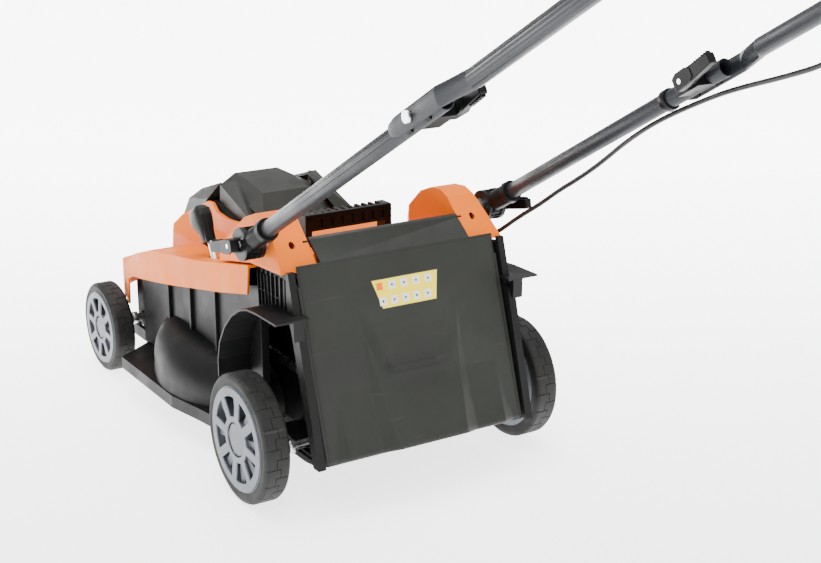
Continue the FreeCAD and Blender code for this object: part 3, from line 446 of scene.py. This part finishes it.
# ---- rear flap relief ----
FLAP_TOP, FLAP_FOOT = (27.0, 308.0), (103.0, 68.0)
FLAP_SPAN = math.hypot(FLAP_FOOT[0] - FLAP_TOP[0], FLAP_TOP[1] - FLAP_FOOT[1])
FLAP_HALF = 147.0


def ramp_between(value, low, high):
    """0 at or below low, 1 at or above high, straight between."""
    return max(0.0, min(1.0, (value - low) / (high - low)))


def flap_height(x, z):
    """How far the flap's skin stands proud of its plane, in millimetres."""
    x = abs(x)
    lower = ramp_between(150.0 - z, 0.0, 75.0)
    flank = 8.0 * lower * ramp_between(121 + 14 * lower - x, 0.0, 2 + 16 * lower)
    rise = ramp_between(245.0 - z, 0.0, 170.0)
    ridge = 10.0 * rise * ramp_between(75 - 3 * rise - x, 0.0, 1 + 21 * rise)
    sink = ramp_between(245.0 - z, 0.0, 73.0) * ramp_between(z, 161.0, 171.0)
    floor_half = 34 + (z - 172) * 0.42
    wall = ramp_between(floor_half + 19 - x, 0.0, 19.0)
    return flank + ridge - 7.0 * sink * wall


def flap_skin(bm):
    columns, rows = 148, 122
    grid = []
    normal = Vector((0, FLAP_TOP[1] - FLAP_FOOT[1], FLAP_FOOT[0] - FLAP_TOP[0])).normalized()
    for row in range(rows + 1):
        down = row / rows
        y = FLAP_TOP[0] + (FLAP_FOOT[0] - FLAP_TOP[0]) * down
        z = FLAP_TOP[1] + (FLAP_FOOT[1] - FLAP_TOP[1]) * down
        line = []
        for column in range(columns + 1):
            x = -FLAP_HALF + 2 * FLAP_HALF * column / columns
            edge = min(FLAP_HALF - abs(x), FLAP_SPAN * (1 - down))
            height = flap_height(x, z) + 1.6 * ramp_between(edge, 1.0, 3.2) - 0.4
            if row == 0 or edge < 0.5:
                height = -0.4
            line.append(bm.verts.new(mm(x, y, z) + normal * height * 0.001))
        grid.append(line)
    for upper, low in zip(grid, grid[1:]):
        for k in range(columns):
            bm.faces.new((upper[k], low[k], low[k + 1], upper[k + 1]))


piece("flap_skin", mesh_from("flap_skin", flap_skin), HOOD, "flap", 60)


def on_flap(x, z, lift):
    """Point on the flap's plane at that height, lifted off it by a number of millimetres."""
    y = FLAP_TOP[0] + (FLAP_TOP[1] - z) * (FLAP_FOOT[0] - FLAP_TOP[0]) / (FLAP_TOP[1] - FLAP_FOOT[1])
    normal = Vector((0, FLAP_TOP[1] - FLAP_FOOT[1], FLAP_FOOT[0] - FLAP_TOP[0])).normalized()
    return mm(x, y, z) + normal * lift * 0.001


def plate(outline, low, high):
    """A thin plate on the flap with the outline of (x, z) corners."""
    def build(bm):
        bottom = [bm.verts.new(on_flap(x, z, low)) for x, z in outline]
        top = [bm.verts.new(on_flap(x, z, high)) for x, z in outline]
        bm.faces.new(top)
        bm.faces.new(list(reversed(bottom)))
        for k in range(len(outline)):
            after = (k + 1) % len(outline)
            bm.faces.new((bottom[k], bottom[after], top[after], top[k]))
    return build


def rectangle(x, z, wide, tall):
    return [(x + wide, z + tall), (x - wide, z + tall), (x - wide, z - tall), (x + wide, z - tall)]


def make_label():
    """Plain yellow plate with a thin border and two rows of blank white cells."""
    border = [(47, 276), (-54, 276), (-46, 239), (36, 239)]
    piece("label_border", mesh_from("label_border", plate(border, 0.9, 1.4)), INK, "flap")
    panel = [(45.8, 275), (-52.8, 275), (-45.1, 240), (35.1, 240)]
    piece("label_plate", mesh_from("label_plate", plate(panel, 1.3, 1.6)), YELLOW, "flap")

    def cells(chosen, low, high, size):
        def build(bm):
            for row, z in enumerate((267.0, 248.5)):
                for k in range(5):
                    x = 35.5 - 2.0 * row - k * (18.2 - 1.4 * row)
                    if (row * 5 + k == 0) == chosen:
                        plate(rectangle(x, z, size, size), low, high)(bm)
        return build
    piece("label_cells", mesh_from("label_cells", cells(False, 1.5, 1.8, 5.2)), WHITE, "flap")
    piece("label_accent", mesh_from("label_accent", cells(True, 1.5, 1.8, 4.4)), ORANGE, "flap")
    piece("label_dots", mesh_from("label_dots", cells(False, 1.7, 2.0, 1.3)), INK, "flap")


make_label()


# ---- battery lid ----
LID_CORE = [(50, -486, 231), (50, -486, 233), (46, -486, 237), (62, -470, 256), (44, -440, 291),
            (35, -375, 333), (37, -328, 331.5), (37, -280, 322), (52, -250, 289), (60, -246, 231),
            (58, -380, 316), (62, -322, 318), (60, -280, 306)]
LID_SKIRT = [(50, -486, 231), (84, -455, 231), (84, -454, 262), (80, -448, 278), (70, -440, 286),
             (60, -462, 262), (84, -262, 231), (84, -262, 262), (68, -262, 284), (60, -246, 250),
             (76, -246, 231), (78, -350, 302), (84, -350, 288)]
LID_WING = [(88, -457, 250), (84, -434, 289), (72, -412, 307), (79, -330, 333), (88, -360, 303),
            (90, -394, 268)]
LID_PILLAR = [(80, -331, 330), (80, -333, 305), (60, -322, 336), (56, -316, 330), (81, -228, 297),
              (80, -250, 288), (69, -250, 292), (66, -240, 288), (70, -318, 300)]
LID_MIDDLE_Y = -366.0
LID_WALL = 3.0
WING_THICK = 13.0


def both_sides(points):
    return [mm(side * x, y, z) for x, y, z in points for side in (1, -1)]


def inside_of(points):
    """The points drawn in by the lid's wall on every side but the open bottom."""
    drawn = []
    for x, y, z in points:
        toward = LID_WALL if y < LID_MIDDLE_Y else -LID_WALL
        drawn.append((x - LID_WALL, y + toward, z - 1.2 * LID_WALL if z > 240 else 226.0))
    return drawn


def hollow_mesh(name, outer, inner):
    """The outer hulls joined, less the inner ones."""
    made = []
    for part, hulls in (("outer", outer), ("inner", inner)):
        def build(bm, hulls=hulls):
            for points in hulls:
                add_hull(bm, points)
        made.append(bpy.data.objects.new(name + "_" + part, mesh_from(name + "_" + part, build)))
        bpy.context.collection.objects.link(made[-1])
    cut = made[0].modifiers.new("hollow", "BOOLEAN")
    cut.operation = "DIFFERENCE"
    cut.solver = "EXACT"
    cut.use_self = True
    cut.object = made[1]
    depsgraph = bpy.context.evaluated_depsgraph_get()
    mesh = bpy.data.meshes.new_from_object(made[0].evaluated_get(depsgraph))
    mesh.name = name
    for thing in made:
        bpy.data.objects.remove(thing)
    return mesh


def lid_mesh():
    hulls = [both_sides(LID_CORE), both_sides(LID_SKIRT)]
    for side in (1, -1):
        hulls.append([mm(side * (x - inset), y, z - 0.4 * inset)
                      for x, y, z in LID_WING for inset in (0, WING_THICK)])
        hulls.append([mm(side * x, y, z) for x, y, z in LID_PILLAR])
    hollows = [both_sides(inside_of(LID_CORE)), both_sides(inside_of(LID_SKIRT))]
    return hollow_mesh("lid_shell", hulls, hollows)


made = piece("lid_shell", lid_mesh(), HOOD, "battery_lid", 12)
soften(made, 0.0010, 2, 12.0)
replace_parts(made, "battery_lid")


# ---- height lever's knob ----
LEVER_FOOT = (142.0, -205.5, 215.7)
LEVER_LEAN = math.radians(29.0)
KNOB_RINGS = [(68, 0.0, 7.0, 8.0), (74, -0.5, 8.0, 9.0), (82, -1.0, 9.0, 10.0), (89, -3.5, 13.0, 11.5),
              (96, -7.0, 18.0, 12.5), (106, -7.5, 19.5, 13.0), (115, -6.5, 17.5, 12.0), (121, -5.0, 9.5, 7.0)]


def on_lever(across, back, up):
    """Point in the lever's own directions: up its rod from the pivot, and square to it."""
    y = LEVER_FOOT[1] - up * math.sin(LEVER_LEAN) + back * math.cos(LEVER_LEAN)
    z = LEVER_FOOT[2] + up * math.cos(LEVER_LEAN) + back * math.sin(LEVER_LEAN)
    return mm(LEVER_FOOT[0] + across, y, z)


def knob(bm):
    rings = []
    for up, middle, half_deep, half_wide in KNOB_RINGS:
        ring = []
        for k in range(20):
            turn = 2 * math.pi * k / 20
            c, s = math.cos(turn), math.sin(turn)
            ring.append(bm.verts.new(on_lever(half_wide * math.copysign(abs(c) ** 0.6, c),
                                              middle + half_deep * math.copysign(abs(s) ** 0.6, s), up)))
        rings.append(ring)
    for here, there in zip(rings, rings[1:]):
        for k in range(20):
            after = (k + 1) % 20
            bm.faces.new((here[k], here[after], there[after], there[k]))
    bm.faces.new(rings[0])
    bm.faces.new(list(reversed(rings[-1])))


def knob_ribs(bm):
    for across in (-6.4, -2.2, 2.2, 6.4):
        for low, high in zip(KNOB_RINGS[:5], KNOB_RINGS[1:6]):
            add_hull(bm, [on_lever(across + dx, ring[1] + ring[2] + out, ring[0])
                          for ring in (low, high) for dx in (-0.9, 0.9) for out in (-3.0, 1.3)])


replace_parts(piece("knob_body", mesh_from("knob_body", knob), KNOB, "height_lever", 40),
            "height_knob")
piece("knob_ribs", mesh_from("knob_ribs", knob_ribs), CLAMP, "height_lever", 40)


# ---- clamp details ----
def frame_at(pivot, forward):
    """Maps (x, along, up) round a (y, z) pivot, with the forward direction as (y, z)."""
    def place(x, run, up):
        y = pivot[0] + forward[0] * run - forward[1] * up
        z = pivot[1] + forward[1] * run + forward[0] * up
        return mm(x, y, z)
    return place


FORK_OUTLINE = [(-4, -7), (-4, 7), (4, 10.5), (20, 9.5), (27, 5), (27, -5), (18, -9)]
FORK_PLATE = 2.5
PAD_START, PAD_STEP, PAD_RIBS, PAD_RIB_WIDTH = 34.0, 4.2, 6, 1.8
PIN_RUN = 6.0


def lever_plates(place, x_in, x_out, mirror_up):
    """Fork plates and ribbed thumb pad of one quick-release lever."""
    def build(bm):
        for x in (x_in - 1.0, x_out - 1.5):
            add_hull(bm, [place(x + dx, run, up) for run, up in FORK_OUTLINE for dx in (0.0, FORK_PLATE)])
        for k in range(PAD_RIBS):
            run = PAD_START + PAD_STEP * k
            add_hull(bm, [place(x, run + dr, mirror_up * up) for x in (x_in + 1.5, x_out - 1.5)
                          for dr in (0.0, PAD_RIB_WIDTH) for up in (5.0, 9.0)])
    return build


def pin_across(place, x_in, x_out, run):
    """Chrome cross pin with a flat head at its x_in end."""
    def build(bm):
        add_rod(bm, place(x_in, run, 0), place(x_out, run, 0), 0.0030)
        add_rod(bm, place(x_in - 0.8, run, 0), place(x_in + 0.6, run, 0), 0.0048, 0.0042)
    return build


UPPER_CLAMP = along(462.0, 0)[1:]
# The fork's x from and to, its pivot, the way it points at rest as (y, z), and the side of its thumb pad.
CAMS = {"lower_cam_left": (199, 209, HANDLE_PIVOT, (-0.966, -0.259), -1),
        "lower_cam_right": (-209, -199, HANDLE_PIVOT, (0.985, 0.174), 1),
        "upper_cam_left": (144, 154, UPPER_CLAMP, (0.85, 0.527), -1),
        "upper_cam_right": (-154, -144, UPPER_CLAMP, (0.80, 0.60), 1)}
for cam, (x_in, x_out, pivot, forward, mirror_up) in CAMS.items():
    place = frame_at(pivot, forward)
    fork = mesh_from("fork", lever_plates(place, x_in, x_out, mirror_up))
    soften(piece(cam + "_fork", fork, CLAMP, cam, 30), 0.0007)
    pin = mesh_from("pin", pin_across(place, x_in - 1.4, x_out + 1.4, PIN_RUN))
    piece(cam + "_pin", pin, CHROME, cam)


SOCKET_DISCS = [(168.6, 173.5, 0.0208), (176.0, 179.0, 0.0200), (189.5, 195.6, 0.0212)]
SOCKET_FLUTES = 18
SOCKET_R = 19.9
SLEEVE_BANDS = (8, 52)


def socket_discs(side):
    """Discs and flutes round the lower clamp's boss, and two bands round its sleeve."""
    def build(bm):
        y, z = HANDLE_PIVOT
        for x0, x1, radius in SOCKET_DISCS:
            add_rod(bm, mm(side * x0, y, z), mm(side * x1, y, z), radius, sides=40)
        for k in range(SOCKET_FLUTES):
            turn = 2 * math.pi * k / SOCKET_FLUTES
            dy, dz = SOCKET_R * math.cos(turn), SOCKET_R * math.sin(turn)
            add_rod(bm, mm(side * 173.0, y + dy, z + dz), mm(side * 190.0, y + dy, z + dz), 0.0010, sides=8)
        for start in SLEEVE_BANDS:
            add_rod(bm, mm(*along(start, side * TUBE_X)), mm(*along(start + 9, side * TUBE_X)),
                    0.0152, 0.0146, sides=40)
    return build


for side_name, side in (("left", 1), ("right", -1)):
    discs = mesh_from("socket_discs", socket_discs(side))
    soften(piece("socket_discs_" + side_name, discs, CLAMP, "lower_handle", 40), 0.0008)


HOOK_PLACES = (440.0, 478.0)
HOOK_START, HOOK_STEP, HOOK_STEPS = -150.0, 25.0, 9
HOOK_RADII = (10.7, 13.6)
HOOK_HALF_WIDTH = 4.0


def saddle_hooks(side):
    """Two hooks of the upper saddle that reach round the lower tube, built as short segments."""
    def build(bm):
        for middle in HOOK_PLACES:
            for k in range(HOOK_STEPS):
                segment = []
                for degrees in (HOOK_START + HOOK_STEP * k, HOOK_START + HOOK_STEP * (k + 1)):
                    angle = math.radians(degrees)
                    for r in HOOK_RADII:
                        for run in (-HOOK_HALF_WIDTH, HOOK_HALF_WIDTH):
                            x = side * (TUBE_X - r * math.sin(angle))
                            segment.append(mm(*along(middle + run, x, r * math.cos(angle))))
                add_hull(bm, segment)
    return build


for side_name, side in (("left", 1), ("right", -1)):
    piece("saddle_hooks_" + side_name, mesh_from("saddle_hooks", saddle_hooks(side)), CLAMP, "lower_handle",
          40)


# ---- side panels seen behind the rear wheels, and fins beside the flap ----
TUNNEL_FOOT = [(55, 64), (55, 122), (76, 116), (89, 66)]
RIB_HEIGHTS = (128, 160, 192)
FIN_PITCH, FIN_LEAN = 9.5, 0.07
FIN_BOTTOM, FIN_TOP, FIN_MIDDLE = 228, 286, 262


def rear_panels(side):
    """Closing panel and ledge at the foot of the grass tunnel, and the ribs along its wall."""
    def build(bm):
        add_hull(bm, [mm(side * x, y, z) for x in (106.5, 109.5) for y, z in TUNNEL_FOOT])
        add_box(bm, *sorted((side * 107, side * 149)), -50, 82, 62.5, 69.5)
        for z in RIB_HEIGHTS:
            rear_end = 40 - 0.3 * (z - RIB_HEIGHTS[0])
            add_hull(bm, [mm(side * x, y, z + dz)
                          for x in (106.2, 109.0) for y in (-44, rear_end) for dz in (0, 2.4)])
        for y in (-40, -8):
            add_box(bm, *sorted((side * 106.2, side * 111)), y, y + 3, 112, 232)
    return build


def wall_fins(side):
    """Thin cooling fins between the band and the flap's side wall, tied by two ribs."""
    def build(bm):
        for k in range(5):
            y = -50 + FIN_PITCH * k
            add_hull(bm, [mm(side * x, y + dy + (FIN_MIDDLE - z) * FIN_LEAN, z)
                          for x in (157.0, 162.0) for dy in (0, 1.3) for z in (FIN_BOTTOM, FIN_TOP)])
        for z in (240, FIN_MIDDLE):
            add_hull(bm, [mm(side * x, y, z + dz)
                          for x in (157.0, 160.5) for y in (-50, 6) for dz in (0, 1.6)])
    return build


for side_name, side in (("left", 1), ("right", -1)):
    for name, build in (("rear_panels_", rear_panels(side)), ("wall_fins_", wall_fins(side))):
        made = piece(name + side_name, mesh_from(name + side_name, build), DECK, "deck", 30)
        soften(made, 0.0004)


# ---- closing walls between the deck's skirt and the panels above it ----
HOUSING_Y = -268.0
HOUSING_WALL = (201.0, 204.2)
WALL_FOOT, WALL_TOP, FRONT_RISE = 53.0, 62.0, 18.0
NOSE_STRIP = (50, 74)


def lower_walls(bm):
    """Foot of the round blade housing, which follows its tilt, and the closing strip under the nose."""
    rings = []
    for k in range(96):
        turn = 2 * math.pi * k / 96
        top = WALL_TOP + FRONT_RISE * max(0.0, -math.cos(turn))
        inner, outer = HOUSING_WALL
        rings.append([bm.verts.new(mm(r * math.sin(turn), HOUSING_Y + r * math.cos(turn), z))
                      for r, z in ((inner, WALL_FOOT), (outer, WALL_FOOT), (outer, top), (inner, top))])
    for here, there in zip(rings, rings[1:] + rings[:1]):
        for k in range(4):
            after = (k + 1) % 4
            bm.faces.new((here[k], here[after], there[after], there[k]))
    add_box(bm, -104, 104, -606.5, -602.5, *NOSE_STRIP)
    for side in (1, -1):
        corners = [(103, -606.5), (125, -560), (101, -603), (122, -559)]
        add_hull(bm, [mm(side * x, y, z) for x, y in corners for z in NOSE_STRIP])


piece("lower_walls", mesh_from("lower_walls", lower_walls), DECK, "deck", 30)


# ---- floor and light ----
def add_glow(tree, shader):
    """Lets the floor glow like a lit table: softly round the mower, brightly in the distance behind it."""
    geometry = tree.nodes.new("ShaderNodeNewGeometry")
    depth = tree.nodes.new("ShaderNodeVectorMath")
    depth.operation = "DOT_PRODUCT"
    depth.inputs[1].default_value = (-0.53, -0.85, 0.0)
    glow = tree.nodes.new("ShaderNodeMapRange")
    glow.interpolation_type = "SMOOTHSTEP"
    for name, value in (("From Min", -0.6), ("From Max", 2.4), ("To Min", 2.0), ("To Max", 7.0)):
        glow.inputs[name].default_value = value
    tree.links.new(geometry.outputs["Position"], depth.inputs[0])
    tree.links.new(depth.outputs["Value"], glow.inputs["Value"])
    tree.links.new(glow.outputs["Result"], shader.inputs["Emission Strength"])


def add_sky(world):
    """White overhead, dimmer towards the horizon."""
    world.use_nodes = True
    tree = world.node_tree
    coords = tree.nodes.new("ShaderNodeTexCoord")
    split = tree.nodes.new("ShaderNodeSeparateXYZ")
    sky = tree.nodes.new("ShaderNodeMapRange")
    for name, value in (("From Min", 0.0), ("From Max", 0.9), ("To Min", 0.5), ("To Max", 1.5)):
        sky.inputs[name].default_value = value
    tree.links.new(coords.outputs["Generated"], split.inputs["Vector"])
    tree.links.new(split.outputs["Z"], sky.inputs["Value"])
    tree.links.new(sky.outputs["Result"], tree.nodes["Background"].inputs["Strength"])
    tree.nodes["Background"].inputs["Color"].default_value = (1, 1, 1, 1)


def make_stage():
    bm = bmesh.new()
    bmesh.ops.create_grid(bm, x_segments=1, y_segments=1, size=12.0)
    mesh = bpy.data.meshes.new("floor")
    bm.to_mesh(mesh)
    bm.free()
    floor = bpy.data.objects.new("floor", mesh)
    bpy.context.collection.objects.link(floor)
    floor.location.z = -0.0005
    pale = bpy.data.materials.new("floor")
    pale.use_nodes = True
    shader = pale.node_tree.nodes["Principled BSDF"]
    shader.inputs["Base Color"].default_value = (0.95, 0.95, 0.95, 1)
    shader.inputs["Roughness"].default_value = 0.7
    shader.inputs["Emission Color"].default_value = (1, 1, 1, 1)
    add_glow(pale.node_tree, shader)
    mesh.materials.append(pale)
    world = bpy.data.worlds.new("studio")
    bpy.context.scene.world = world
    add_sky(world)
    for name, place, size, power in (("key", (1.4, 1.6, 3.0), 1.6, 42), ("fill", (-0.6, 3.0, 1.5), 1.8, 26),
                                     ("top", (0.0, -0.6, 3.2), 2.0, 100)):
        data = bpy.data.lights.new(name, "AREA")
        data.energy = power
        data.size = size
        light = bpy.data.objects.new(name, data)
        bpy.context.collection.objects.link(light)
        light.location = place
        light.rotation_mode = "QUATERNION"
        light.rotation_quaternion = (Vector((0, -0.1, 0.2)) - Vector(place)).to_track_quat("-Z", "Y")


make_stage()
